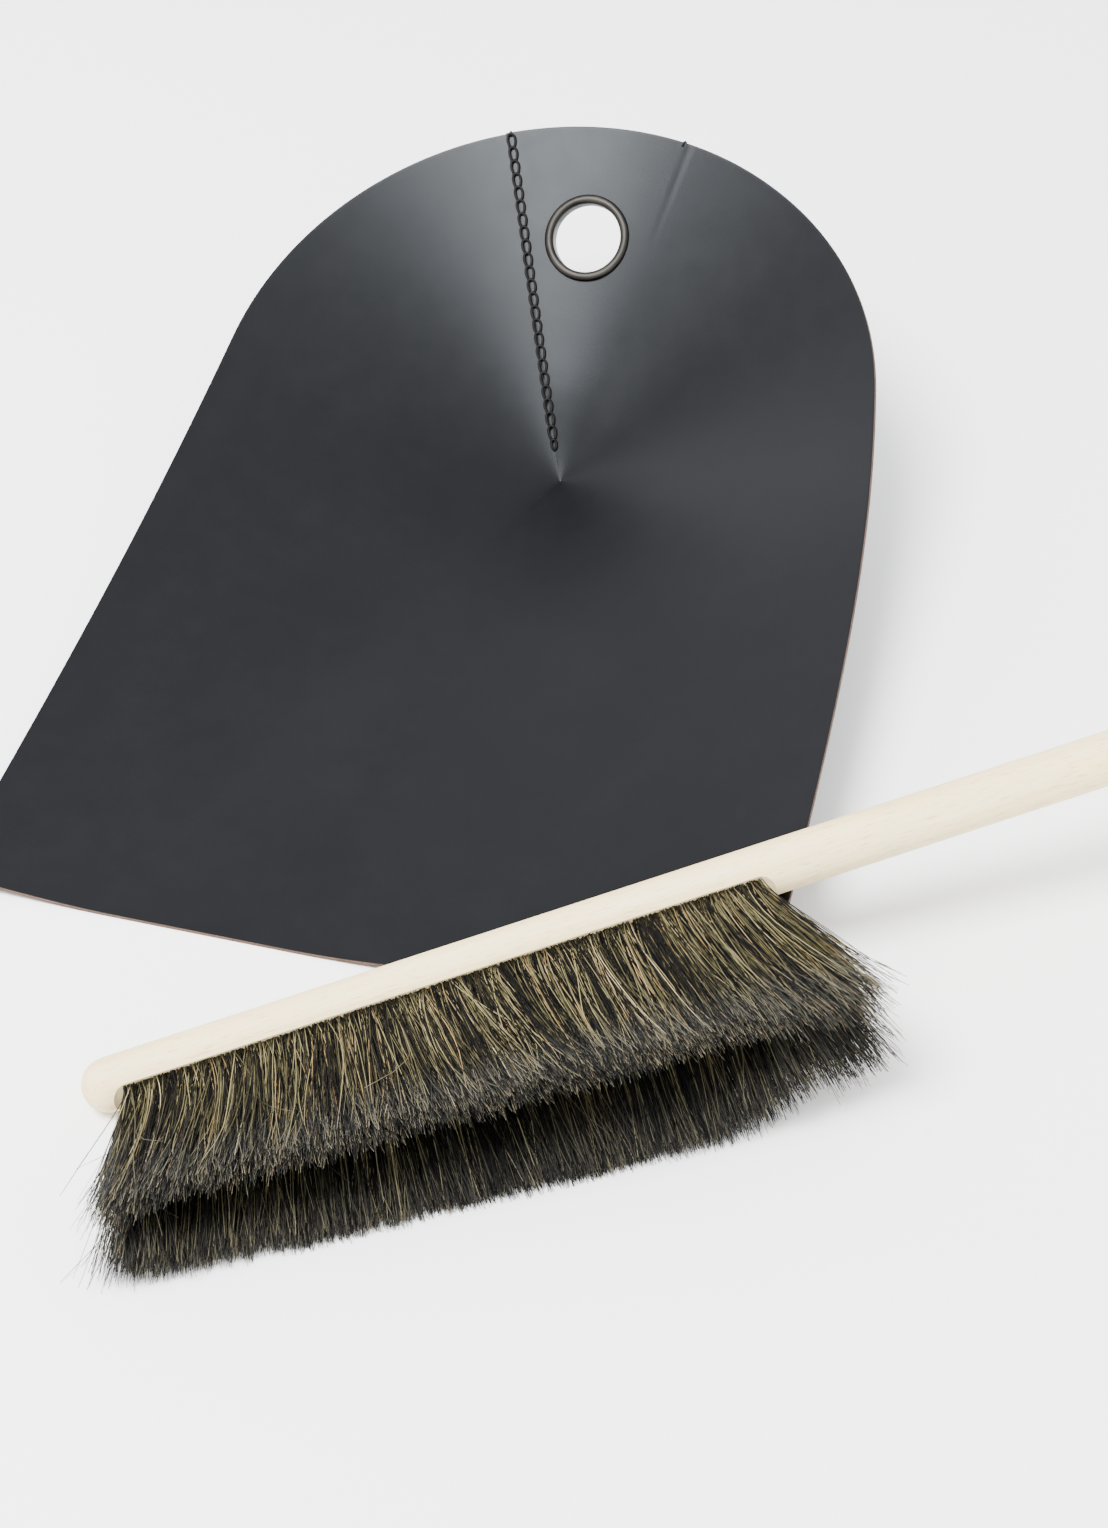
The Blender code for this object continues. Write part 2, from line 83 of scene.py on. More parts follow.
# ------------------------------------------------------------------ the sheet's fine shape
APEX_RING = 0.0014                       # the sheet is a true cone down to here
APEX_SINK = 0.3                          # place of the very tip, as a share of that ring's centre
COLUMN_ANGLE = math.radians(1.25)
RINGS = 18
RIM_RING = 0.0011                        # a last ring this far inside the rim keeps its edge crisp
CREASE_ANGLE = math.radians(42.0)
RIDGE_WIDTH = 0.0018
RIDGE_HEIGHT = 0.00009
RIDGE_START = 0.11                       # the hidden lap's edge shows from here
RIDGE_FADE = 0.06
LAP_FULL = 0.050                         # the upper lap has its full lift from here outward
EDGE_BEVEL = 0.00032
SHARP_ANGLE = math.radians(40.0)
BEVEL_ANGLE = math.radians(60.0)

# ------------------------------------------------------------------ the seam
STITCH_PITCH = 0.0065
STITCH_WIDTH = 0.0046
STITCH_THREAD = 0.00066
SEAM_SPAN = (0.0145, 0.1735)
SEAM_INSETS = (-0.0003, 0.0027)          # from the cut edge, at the inner end and at the rim
LINK_STEPS = 22
LINK_REACH = 1.10                        # each link runs into the next one
LINK_NECK = 0.62                         # its width where it leaves the leather
LINK_START = 0.0002                      # the holes lie this far before each link's pitch
LINK_DIP = (0.0007, 0.22)                # how deep it starts, and over which share of its length
LINK_ARCH = (0.00035, 0.20)              # how high it ends, over the next link, likewise
FIRST_LINK = 0.72                        # size of the first link beside the others
BACK_THREAD = 0.00038
BACK_STEPS = 8
KNOT_THREAD = 0.00065
KNOT_STEPS = 14
KNOT_INSET = 0.0022
KNOT_REACH = 0.0027
HIDDEN_KNOT = 0.0035                     # from the hidden lap's edge, along the rim
THREAD_SIDES = 8

# ------------------------------------------------------------------ the hair
STRANDS = {"upper": 310, "lower": 280}   # per tuft
HAIR_GROUPS = 4                          # pieces in each row
STRAND_STEPS = 8
STRAND_SIDES = 3
STRAND_RADIUS = 0.00018
HOLE_SPREAD = 0.0019
HOLE_DEPTH = 0.002
ROOT_LIFT = 0.0001                       # of a loose strand's root above the flat
LOOSE_SHARE = 0.42                       # strands that lie between the tufts
LOOSE_BAND = (-0.0012, 0.0029)           # across the flat, outward from the row
LOCKS = (4, 7)                           # fewest, and one more than the most, in a tuft
LOCK_LEAN = 2.0                          # degrees
STRAND_LEAN = 2.5
HOLE_LEAN = 2.0                          # outward, at the edge of a hole
MOST_LEAN = 30.0
LEAN = ((0.0, -16.0), (0.05, -13.0), (0.10, -7.0), (0.14, 4.0),
        (0.19, -1.0), (0.235, 4.0), (0.268, 17.0))       # degrees, by distance along the flat
LOWER_LEAN = 0.92                        # the lower row leans less toward the handle
END_FANS = (math.radians(7.0), math.radians(13.0))       # at the ball end and at the handle end
END_REACH = (0.10, 0.16)                 # the part of the row that fans out at each end
DROOP = 0.017                            # of the lower row's free tips, at the handle end
DROOP_REACH = 0.9                        # the part of the row over which it grows
END_DEPTH = (0.25, 0.85)                 # a tip's place across the row: its lock's share and its own
END_ASIDE = 0.62                         # its place along the row, in tuft pitches
LOCK_DEPTHS = (-0.85, 0.85)
LOCK_LENGTHS = (0.965, 1.02)
LENGTH_LOSS = 0.12                       # of the shortest strands
STRAY_SHARE = 0.022
STRAY_LEAN = 6.0
STRAY_LENGTHS = (0.80, 1.03)
KNEE = 0.24                              # where a strand turns, as a share of its length
KNEE_TURN = 0.45                         # how far it has turned there
WAVE = 0.0011
SIDE_WAVE = 0.0008
FLICK = 0.0024
STRAY_FLICK = 2.6
CURL_START = 0.70                        # where a strand's last part starts, which flicks and thins
THICKNESSES = (0.75, 1.25)
TAPER = 0.45
LOCK_TONE = 0.28                         # how much of a strand's tone it shares with its lock
CLEARANCE = (0.0006, 0.0004)             # least above the pan or the floor, and a random extra
ROW_CLEARANCE = 0.0004
PITCH_STEP = math.radians(0.2)
SEED = 7

# ------------------------------------------------------------------ the setting
CAMERA_OFFSET = Vector((-0.00345, -1.07131, 0.80023))    # from the pan's apex
CAMERA_DIP = math.radians(42.7)
FOCAL_LENGTH = 63.6126
SENSOR = 36.0
FLOOR_HALF = 6.0
STUDIO_STRENGTH = 3.52
STUDIO_DIM = (0.56, 0.57, 0.595, 1.0)
STUDIO_BRIGHT = (1.0, 1.0, 1.0, 1.0)
STUDIO_FACING = (-0.34, -0.72, 0.65)     # toward the bright side


def ease(value):
    """Smooth step from 0 to 1, clamped outside."""
    value = min(1.0, max(0.0, value))
    return value * value * (3.0 - 2.0 * value)


def mix(first, second, share):
    return first + (second - first) * share


# ------------------------------------------------------------------ materials
class Nodes:
    """A material under construction, with short calls for the nodes used here."""

    # the colour sockets of a Mix node, which shares its socket names between data types
    MIX_FIRST, MIX_SECOND, MIX_RESULT = 6, 7, 2

    def __init__(self, name):
        self.material = bpy.data.materials.new(name)
        self.material.use_nodes = True
        self.tree = self.material.node_tree
        self.shader = self.tree.nodes["Principled BSDF"]

    def add(self, kind, **settings):
        node = self.tree.nodes.new("ShaderNode" + kind)
        for key, value in settings.items():
            setattr(node, key, value)
        return node

    def link(self, source, target):
        self.tree.links.new(source, target)

    def put(self, target, value):
        """Feed a socket from another socket, or give it a number or a colour."""
        if isinstance(value, bpy.types.NodeSocket):
            self.link(value, target)
        elif isinstance(value, tuple):
            target.default_value = (*value, 1.0)
        else:
            target.default_value = value

    def place(self, matrix=None, scale=(1.0, 1.0, 1.0)):
        """Object coordinates seen in the frame of matrix, then scaled."""
        source = self.add("TexCoord").outputs["Object"]
        if matrix is not None:
            axes = matrix.to_3x3().transposed()
            combine = self.add("CombineXYZ")
            shifted = self.add("VectorMath", operation="SUBTRACT")
            self.link(source, shifted.inputs[0])
            shifted.inputs[1].default_value = matrix.translation
            for index in range(3):
                dot = self.add("VectorMath", operation="DOT_PRODUCT")
                self.link(shifted.outputs[0], dot.inputs[0])
                dot.inputs[1].default_value = axes[index]
                self.link(dot.outputs["Value"], combine.inputs[index])
            source = combine.outputs[0]
        scaled = self.add("VectorMath", operation="MULTIPLY")
        self.link(source, scaled.inputs[0])
        scaled.inputs[1].default_value = scale
        return scaled.outputs[0]

    def noise(self, vector, scale=1.0, detail=3.0, roughness=0.55, distortion=0.0):
        node = self.add("TexNoise")
        self.link(vector, node.inputs["Vector"])
        node.inputs["Scale"].default_value = scale
        node.inputs["Detail"].default_value = detail
        node.inputs["Roughness"].default_value = roughness
        node.inputs["Distortion"].default_value = distortion
        return node.outputs["Fac"]

    def cells(self, vector, scale=1.0, feature="F1"):
        node = self.add("TexVoronoi", feature=feature)
        self.link(vector, node.inputs["Vector"])
        node.inputs["Scale"].default_value = scale
        return node.outputs["Distance"]

    def span(self, value, low, high, start=0.0, end=1.0):
        """Map low..high to start..end, clamped."""
        node = self.add("MapRange", clamp=True)
        self.put(node.inputs["Value"], value)
        for key, number in (("From Min", low), ("From Max", high), ("To Min", start), ("To Max", end)):
            node.inputs[key].default_value = number
        return node.outputs["Result"]

    def math(self, operation, first, second):
        node = self.add("Math", operation=operation)
        self.put(node.inputs[0], first)
        self.put(node.inputs[1], second)
        return node.outputs[0]

    def times(self, first, second):
        return self.math("MULTIPLY", first, second)

    def plus(self, first, second):
        return self.math("ADD", first, second)

    def blend(self, share, first, second, mode="MIX"):
        """Two colours mixed, each a socket or a tuple."""
        node = self.add("Mix", data_type="RGBA", blend_type=mode)
        self.put(node.inputs["Factor"], share)
        self.put(node.inputs[self.MIX_FIRST], first)
        self.put(node.inputs[self.MIX_SECOND], second)
        return node.outputs[self.MIX_RESULT]

    def ramp(self, value, stops):
        """Colour by value, from (position, colour) stops."""
        node = self.add("ValToRGB")
        self.put(node.inputs["Fac"], value)
        while len(node.color_ramp.elements) < len(stops):
            node.color_ramp.elements.new(1.0)
        for element, (position, color) in zip(node.color_ramp.elements, stops):
            element.position = position
            element.color = (*color, 1.0)
        return node.outputs["Color"]

    def finish(self, color, roughness, height=None, distance=0.0, strength=0.0, **constants):
        """Wire the shader. distance and strength are the bump's, from height."""
        self.put(self.shader.inputs["Base Color"], color)
        self.put(self.shader.inputs["Roughness"], roughness)
        for key, value in constants.items():
            self.put(self.shader.inputs[key.replace("_", " ")], value)
        if height is not None:
            bump = self.add("Bump")
            bump.inputs["Strength"].default_value = strength
            bump.inputs["Distance"].default_value = distance
            self.link(height, bump.inputs["Height"])
            self.link(bump.outputs["Normal"], self.shader.inputs["Normal"])
        return self.material


def leather_material():
    """Smooth black leather with a fine grain and a faint bluish sheen."""
    n = Nodes("black_leather")
    place = n.place()
    broad = n.noise(place, scale=14.0, roughness=0.5)
    cloudy = n.noise(place, scale=70.0, detail=4.0, roughness=0.6)
    grain = n.cells(place, scale=1500.0, feature="SMOOTH_F1")
    pores = n.noise(place, scale=2600.0, detail=2.0, roughness=0.6)
    color = n.ramp(n.plus(n.times(broad, 0.6), n.times(cloudy, 0.4)),
                   ((0.30, (0.0034, 0.0035, 0.0042)),
                    (0.52, (0.0044, 0.0045, 0.0053)),
                    (0.75, (0.0058, 0.0059, 0.0068))))
    darker = n.blend(0.6, color, (0.002, 0.002, 0.0025))
    color = n.blend(n.span(pores, 0.35, 0.7), darker, color)
    rough = n.span(cloudy, 0.3, 0.7, 0.295, 0.335)
    height = n.plus(n.plus(n.times(grain, 0.5), n.times(pores, 0.5)), n.times(cloudy, 0.35))
    return n.finish(color, rough, height, distance=0.00010, strength=0.35,
                    Specular_IOR_Level=0.118, Specular_Tint=(0.90, 0.955, 1.0))


def edge_material():
    """The raw tan fibre of the leather's cut edge."""
    n = Nodes("cut_leather_edge")
    place = n.place()
    fibre = n.noise(place, scale=1800.0, detail=4.0, roughness=0.7)
    broad = n.noise(place, scale=60.0, detail=2.0, roughness=0.5)
    color = n.ramp(fibre, ((0.30, (0.045, 0.028, 0.020)),
                           (0.55, (0.110, 0.068, 0.050)),
                           (0.75, (0.190, 0.125, 0.098))))
    color = n.blend(n.span(broad, 0.35, 0.65, 0.0, 0.5), color, (0.050, 0.032, 0.026))
    return n.finish(color, 0.82, fibre, distance=0.0003, strength=0.7, Specular_IOR_Level=0.15)


def gunmetal_material():
    n = Nodes("gunmetal")
    place = n.place()
    broad = n.noise(place, scale=90.0, roughness=0.6)
    fine = n.noise(place, scale=1600.0, roughness=0.6)
    color = n.ramp(broad, ((0.32, (0.017, 0.0160, 0.0148)),
                           (0.62, (0.027, 0.0250, 0.0230)),
                           (0.80, (0.042, 0.0365, 0.0310))))
    rough = n.span(n.plus(broad, n.times(fine, 0.4)), 0.5, 0.9, 0.38, 0.50)
    return n.finish(color, rough, fine, distance=0.00004, strength=0.4, Metallic=1.0)


def thread_material():
    n = Nodes("waxed_thread")
    fibre = n.noise(n.place(), scale=5200.0, detail=2.0, roughness=0.6, distortion=0.4)
    color = n.ramp(fibre, ((0.30, (0.0010, 0.0010, 0.0012)), (0.70, (0.0055, 0.0053, 0.0055))))
    return n.finish(color, 0.55, fibre, distance=0.00012, strength=0.7, Specular_IOR_Level=0.12)


def beech_material(matrix):
    """Pale sanded beech, its grain and flecks running along the matrix's X axis."""
    n = Nodes("pale_beech")
    split = n.add("SeparateXYZ")
    n.link(n.place(matrix), split.inputs[0])
    rings = n.noise(n.place(matrix, (5.0, 150.0, 210.0)), detail=4.0, roughness=0.6, distortion=0.5)
    fine = n.noise(n.place(matrix, (60.0, 1500.0, 1500.0)), detail=4.0, roughness=0.65)
    fleck = n.cells(n.place(matrix, (110.0, 1500.0, 1200.0)))
    sparse = n.noise(n.place(matrix, (160.0, 500.0, 500.0)), detail=2.0, roughness=0.5)
    pore = n.cells(n.place(matrix, (900.0, 5200.0, 5200.0)))
    color = n.ramp(rings, ((0.30, (0.72, 0.550, 0.265)),
                           (0.50, (0.82, 0.665, 0.355)),
                           (0.72, (0.90, 0.780, 0.460))))
    color = n.blend(n.span(fine, 0.35, 0.70, 0.0, 0.45), color, (0.65, 0.500, 0.30))
    dash = n.times(n.span(fleck, 0.20, 0.42, 1.0, 0.0), n.span(sparse, 0.46, 0.58))
    color = n.blend(n.times(dash, 0.55), color, (0.42, 0.27, 0.125))
    pits = n.span(pore, 0.12, 0.28, 1.0, 0.0)
    color = n.blend(n.times(pits, 0.30), color, (0.34, 0.22, 0.12))
    # the wood is a little darker toward the ball end
    ball_end_darkening = n.span(split.outputs[0], -0.011, 0.030, 0.40, 0.0)
    color = n.blend(ball_end_darkening, color, (0.60, 0.450, 0.255))
    height = n.math("SUBTRACT", fine, n.times(dash, 0.6))
    rough = n.span(fine, 0.3, 0.7, 0.50, 0.64)
    return n.finish(color, rough, height, distance=0.00008, strength=0.5, Specular_IOR_Level=0.35)


def hair_material(name, stops, tip_color, tip_share):
    """Colour by strand from the tone attribute, with painted shade at the roots and worn tips from the
    along attribute.
    """
    n = Nodes(name)
    tone = n.add("Attribute", attribute_name="tone").outputs["Fac"]
    along = n.add("Attribute", attribute_name="along").outputs["Fac"]
    vary = n.noise(n.place(), scale=260.0, detail=2.0, roughness=0.5)
    color = n.ramp(tone, stops)
    darker = n.blend(1.0, color, (0.45, 0.42, 0.38), "MULTIPLY")
    color = n.blend(n.span(vary, 0.35, 0.7, 0.0, 0.35), color, darker)
    # painted shade: the strands darken toward their roots, where the dense hair enters the stick
    root = n.span(along, 0.0, 0.13, 0.75, 0.0)
    color = n.blend(root, color, (0.0025, 0.0023, 0.0020))
    # the paler strands are also the worn ones, so the dark gaps stay dark to the tips
    worn = n.times(n.span(along, 0.76, 1.0, 0.0, tip_share), n.span(tone, 0.35, 0.62, 0.10, 1.0))
    color = n.blend(worn, color, tip_color)
    return n.finish(color, n.span(vary, 0.3, 0.7, 0.42, 0.58), Specular_IOR_Level=0.10)


def upper_hair_material():
    """Black strands up to a tone of about a half, then straw, a few rust, and pale ones."""
    return hair_material("mixed_hair", (
        (0.00, (0.0010, 0.0010, 0.0013)), (0.50, (0.0020, 0.0020, 0.0023)),
        (0.57, (0.016, 0.014, 0.007)), (0.69, (0.080, 0.070, 0.032)),
        (0.83, (0.210, 0.183, 0.092)), (0.89, (0.205, 0.118, 0.040)),
        (1.00, (0.460, 0.420, 0.275))), tip_color=(0.085, 0.084, 0.080), tip_share=0.50)


def lower_hair_material():
    """Mostly black, with straw strands and a few pale ones: its own mix, and darker than the upper row's
    as painted shade under it.
    """
    return hair_material("lower_hair_shaded", (
        (0.00, (0.0008, 0.0008, 0.0010)), (0.58, (0.0016, 0.0015, 0.0014)),
        (0.66, (0.012, 0.010, 0.005)), (0.78, (0.070, 0.061, 0.029)),
        (0.90, (0.165, 0.145, 0.073)), (1.00, (0.300, 0.268, 0.165))),
        tip_color=(0.060, 0.058, 0.054), tip_share=0.45)


def floor_material():
    n = Nodes("pale_floor")
    soft = n.noise(n.place(), scale=3.0, detail=2.0, roughness=0.5)
    return n.finish(n.ramp(soft, ((0.3, (0.870, 0.870, 0.870)), (0.7, (0.885, 0.885, 0.885)))), 0.85)


# ------------------------------------------------------------------ mesh helpers
def new_piece(name, mesh, materials, body):
    obj = bpy.data.objects.new(name, mesh)
    bpy.context.scene.collection.objects.link(obj)
    for material in materials:
        mesh.materials.append(material)
    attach(obj, body)
    return obj


def smooth_mesh(name, points, faces):
    mesh = bpy.data.meshes.new(name)
    mesh.from_pydata(np.asarray(points).tolist(), [], faces)
    mesh.update()
    mesh.shade_smooth()
    return mesh


def lathe(name, profile, segments, matrix):
    """A closed (radius, height) outline turned about the matrix's Z axis."""
    count = len(profile)
    angles = np.linspace(0.0, 2.0 * math.pi, segments, endpoint=False)
    radius, height = np.array(profile).T
    points = np.stack([np.outer(np.cos(angles), radius), np.outer(np.sin(angles), radius),
                       np.tile(height, (segments, 1))], axis=-1).reshape(-1, 3)
    faces = []
    for ring in range(segments):
        following = (ring + 1) % segments
        for index in range(count):
            after = (index + 1) % count
            faces.append((ring * count + index, ring * count + after,
                          following * count + after, following * count + index))
    mesh = smooth_mesh(name, points, faces)
    bm = bmesh.new()
    bm.from_mesh(mesh)
    bmesh.ops.recalc_face_normals(bm, faces=bm.faces)
    bm.to_mesh(mesh)
    bm.free()
    mesh.transform(matrix)
    mesh.shade_smooth()
    mesh.set_sharp_from_angle(angle=SHARP_ANGLE)
    return mesh


def sweep(paths, radii, sides):
    """Round tubes along many paths. paths is (count, steps, 3), radii is (count, steps)."""
    tiny = 1e-12
    count, steps = paths.shape[:2]
    tangent = np.gradient(paths, axis=1)
    tangent /= np.linalg.norm(tangent, axis=2, keepdims=True) + tiny
    # a direction that no strand or thread follows exactly
    helper = np.tile(np.array([0.13, 0.21, 0.97]), (count, steps, 1))
    first = np.cross(tangent, helper)
    first /= np.linalg.norm(first, axis=2, keepdims=True) + tiny
    second = np.cross(tangent, first)
    angle = np.linspace(0.0, 2.0 * math.pi, sides, endpoint=False)
    ring = (first[:, :, None, :] * np.cos(angle)[None, None, :, None]
            + second[:, :, None, :] * np.sin(angle)[None, None, :, None])
    points = paths[:, :, None, :] + ring * radii[:, :, None, None]
    index = np.arange(count * steps * sides).reshape(count, steps, sides)
    near, far = index[:, :-1], index[:, 1:]
    quads = np.stack([near, far, np.roll(far, -1, axis=2), np.roll(near, -1, axis=2)], axis=-1)
    caps = [tuple(row) for row in index[:, 0].tolist()]
    caps += [tuple(row[::-1]) for row in index[:, -1].tolist()]
    return points.reshape(-1, 3), quads.reshape(-1, 4).tolist() + caps


def thread_piece(name, paths, radius, material):
    """Lengths of thread on the pan, one along each path."""
    paths = np.array(paths)
    points, faces = sweep(paths, np.full(paths.shape[:2], radius), THREAD_SIDES)
    return new_piece(name, smooth_mesh(name, points, faces), [material], "pan")


# ------------------------------------------------------------------ the cone, as in the CAD
class Cone:
    """A sheet rolled without stretching, by the directions of its straight rulings."""

    def __init__(self):
        lift = REAR_SLOPE + REAR_RADIUS
        flat = FLAT_HALF_ANGLE
        self.shoulder = Vector((math.cos(SHOULDER_RADIUS) * math.sin(flat),
                                -math.cos(SHOULDER_RADIUS) * math.cos(flat),
                                math.sin(SHOULDER_RADIUS)))
        self.rear = Vector((0.0, math.cos(lift), math.sin(lift)))
        toward = (self.shoulder - self.rear * self.shoulder.dot(self.rear)).normalized()
        self.first = Vector((math.sin(flat), -math.cos(flat), 0.0))
        self.second = self.rear * math.cos(REAR_RADIUS) + toward * math.sin(REAR_RADIUS)
        last = Vector((0.0, math.cos(REAR_SLOPE), math.sin(REAR_SLOPE)))
        shoulder_turn = self.turn(self.shoulder, self.first, self.second)
        rear_turn = self.turn(self.rear, self.second, last)
        self.shoulder_end = flat + math.sin(SHOULDER_RADIUS) * shoulder_turn
        self.half = self.shoulder_end + math.sin(REAR_RADIUS) * rear_turn
        self.overlap = 2.0 * (math.pi - self.half)

    @staticmethod
    def turn(axis, start, end):
        """The angle from start to end, counted about the axis."""
        start = start - axis * start.dot(axis)
        end = end - axis * end.dot(axis)
        return math.atan2(axis.dot(start.cross(end)), start.dot(end)) % (2.0 * math.pi)

    def frame(self, t):
        """Unit direction and inward normal of the ruling at developed angle t."""
        t = (t + self.half) % (2.0 * self.half) - self.half
        side = -1.0 if t < 0.0 else 1.0
        t = abs(t)
        if t <= FLAT_HALF_ANGLE:
            direction = Vector((math.sin(t), -math.cos(t), 0.0))
            normal = Vector((0.0, 0.0, 1.0))
        else:
            if t <= self.shoulder_end:
                axis, start, radius = self.shoulder, self.first, SHOULDER_RADIUS
                angle = (t - FLAT_HALF_ANGLE) / math.sin(radius)
            else:
                axis, start, radius = self.rear, self.second, REAR_RADIUS
                angle = (t - self.shoulder_end) / math.sin(radius)
            direction = Matrix.Rotation(angle, 3, axis) @ start
            normal = (axis - direction * math.cos(radius)) / math.sin(radius)
        direction.x *= side
        normal.x *= side
        return direction, normal


CONE = Cone()
SEAM_ANGLE = math.pi - CONE.overlap      # of the hidden lap's edge; the sewn edge is at pi
TO_REST = Matrix.Rotation(REST_ANGLE, 3, "Z")
PAN = Matrix.Translation(APEX) @ Matrix.Rotation(PAN_YAW, 4, "Z")


def pan_frame(u):
    direction, normal = CONE.frame(u - REST_ANGLE)
    return TO_REST @ direction, TO_REST @ normal


def pan_point(u, radius, lift=0.0):
    """A point of the sheet's lower face, raised by lift. u is the angle in the flat arch."""
    direction, normal = pan_frame(u)
    return direction * radius + normal * lift


def rim_radius(u):
    """Distance from the arch's centre to its outline."""
    u = abs(u)
    if u >= math.pi / 2.0:
        return ARCH_RADIUS
    return min(ARCH_RADIUS / max(math.sin(u), 1e-9), FRONT_REACH / math.cos(u))


def lap_lift(u, radius):
    """How far the top layer stands above the cone, where it climbs over the hidden lap."""
    beyond = u - SEAM_ANGLE
    share = min(1.0, max(0.0, beyond / CREASE_ANGLE + 1.0))
    across = share ** 3 * (10.0 - 15.0 * share + 6.0 * share ** 2)
    along = ease((radius - SLIT_START) / (LAP_FULL - SLIT_START))
    ridge = RIDGE_HEIGHT * math.exp(-(beyond * radius / RIDGE_WIDTH) ** 2)
    return (SHEET + GAP) * across * along + ridge * ease((radius - RIDGE_START) / RIDGE_FADE)


def eyelet_matrix():
    direction, normal = pan_frame(math.pi - 0.5 * CONE.overlap)
    matrix = Matrix((direction.cross(normal), direction, normal)).transposed().to_4x4()
    matrix.translation = direction * EYELET_DISTANCE
    return PAN @ matrix


class Ground:
    """Height of the pan's top, or of the floor, below any place given in world metres."""

    SAMPLES = 1441
    RIM_MARGIN = 0.003

    def __init__(self):
        angles = [float(u) for u in np.linspace(-math.pi / 2.0, math.pi / 2.0, self.SAMPLES)]
        direction = np.array([pan_frame(u)[0] for u in angles])
        self.azimuth = np.unwrap(np.arctan2(direction[:, 0], -direction[:, 1]))
        self.level = np.hypot(direction[:, 0], direction[:, 1])
        self.rise = direction[:, 2]
        self.rim = np.array([rim_radius(u) for u in angles])

    def __call__(self, x, y):
        cosine, sine = math.cos(-PAN_YAW), math.sin(-PAN_YAW)
        px, py = x - APEX.x, y - APEX.y
        px, py = px * cosine - py * sine, px * sine + py * cosine
        azimuth = np.arctan2(px, -py)
        level = np.interp(azimuth, self.azimuth, self.level)
        rise = np.interp(azimuth, self.azimuth, self.rise)
        rim = np.interp(azimuth, self.azimuth, self.rim)
        radius = np.hypot(px, py) / level
        return np.where(radius > rim + self.RIM_MARGIN, 0.0, radius * rise + SHEET / level)


# ------------------------------------------------------------------ pan
def column_angles(start, end, marks=()):
    """Angles from start to end, evenly spaced between the marks, which are all included."""
    stops = [start] + sorted(m for m in marks if start < m < end) + [end]
    angles = [start]
    for first, second in zip(stops, stops[1:]):
        count = max(1, math.ceil((second - first) / COLUMN_ANGLE))
        angles += [mix(first, second, (step + 1) / count) for step in range(count)]
    return angles


def ring_radii(u):
    """Distances from the apex of the rings of vertices. The slit starts at the second one."""
    rim = rim_radius(u)
    inner = [APEX_RING, SLIT_START, 0.5 * (SLIT_START + LAP_START)]
    return inner + [mix(LAP_START, rim, step / RINGS) for step in range(RINGS)] + [rim - RIM_RING, rim]


def sheet_surface():
    """The lower face of the rolled sheet: the top layer all round, and the hidden lap below it."""
    corner = math.atan2(ARCH_RADIUS, FRONT_REACH)
    marks = [-math.pi / 2.0, -corner, corner, math.pi / 2.0]
    marks += [SEAM_ANGLE + step * 0.5 * RIDGE_WIDTH / ARCH_RADIUS for step in range(-5, 6)]
    angles = column_angles(-SEAM_ANGLE, math.pi, marks)
    slit_ring, lap_ring = 1, 3

    bm = bmesh.new()
    apex = bm.verts.new((0.0, 0.0, 0.0))

    def column(u, sewn_edge=False):
        verts = []
        for radius in ring_radii(u):
            # the sewn edge stands back from the slit, but never past the column before it
            gap = min(GAP / radius, 0.4 * COLUMN_ANGLE) if sewn_edge and radius > SLIT_START else 0.0
            verts.append(bm.verts.new(pan_point(u - gap, radius, lap_lift(u - gap, radius))))
        return verts

    columns = [column(u, sewn_edge=(u == angles[-1])) for u in angles]
    for ring in range(slit_ring + 1):
        bm.verts.remove(columns[-1][ring])
        columns[-1][ring] = columns[0][ring]
    last = len(columns[0]) - 1
    for left, right in zip(columns, columns[1:]):
        bm.faces.new((apex, left[0], right[0]))
        for inner in range(last):
            bm.faces.new((left[inner], left[inner + 1], right[inner + 1], right[inner]))
    centre = sum((entry[0].co for entry in columns[:-1]), Vector()) / (len(columns) - 1)
    apex.co = centre * APEX_SINK

    under = [columns[0]]
    for u in reversed(column_angles(-math.pi, -SEAM_ANGLE)[:-1]):
        under.append(column(u))
    for left, right in zip(under[1:], under):
        for inner in range(lap_ring, last):
            bm.faces.new((left[inner], left[inner + 1], right[inner + 1], right[inner]))
    for verts in under[1:]:
        for vert in verts[:lap_ring]:
            bm.verts.remove(vert)
    bm.normal_update()
    if apex.normal.z < 0.0:
        bmesh.ops.reverse_faces(bm, faces=bm.faces)
    mesh = bpy.data.meshes.new("leather_pan")
    bm.to_mesh(mesh)
    bm.free()
    mesh.transform(PAN)
    mesh.shade_smooth()
    return mesh


def eyelet_cutter():
    radius = EYELET_BORE + EYELET_WALL + GAP
    mesh = bpy.data.meshes.new("hole")
    bm = bmesh.new()
    bmesh.ops.create_cone(bm, cap_ends=True, segments=96, radius1=radius, radius2=radius,
                          depth=0.03, matrix=eyelet_matrix())
    bm.to_mesh(mesh)
    bm.free()
    cutter = bpy.data.objects.new("hole", mesh)
    bpy.context.scene.collection.objects.link(cutter)
    return cutter


def make_pan_sheet(leather, edge):
    """The surface made solid, with worn edges and the eyelet's hole."""
    sheet = new_piece("leather_pan", sheet_surface(), [leather, edge], "pan")
    shell = sheet.modifiers.new("thickness", "SOLIDIFY")
    shell.thickness = SHEET
    shell.offset = 1.0
    shell.material_offset_rim = 1
    bevel = sheet.modifiers.new("worn_edge", "BEVEL")
    bevel.width = EDGE_BEVEL
    bevel.segments = 2
    bevel.limit_method = "ANGLE"
    bevel.angle_limit = BEVEL_ANGLE
    cutter = eyelet_cutter()
    boolean = sheet.modifiers.new("hole", "BOOLEAN")
    boolean.object = cutter
    boolean.solver = "EXACT"
    settle(sheet)
    bpy.data.objects.remove(cutter)
    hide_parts("pan_sheet")


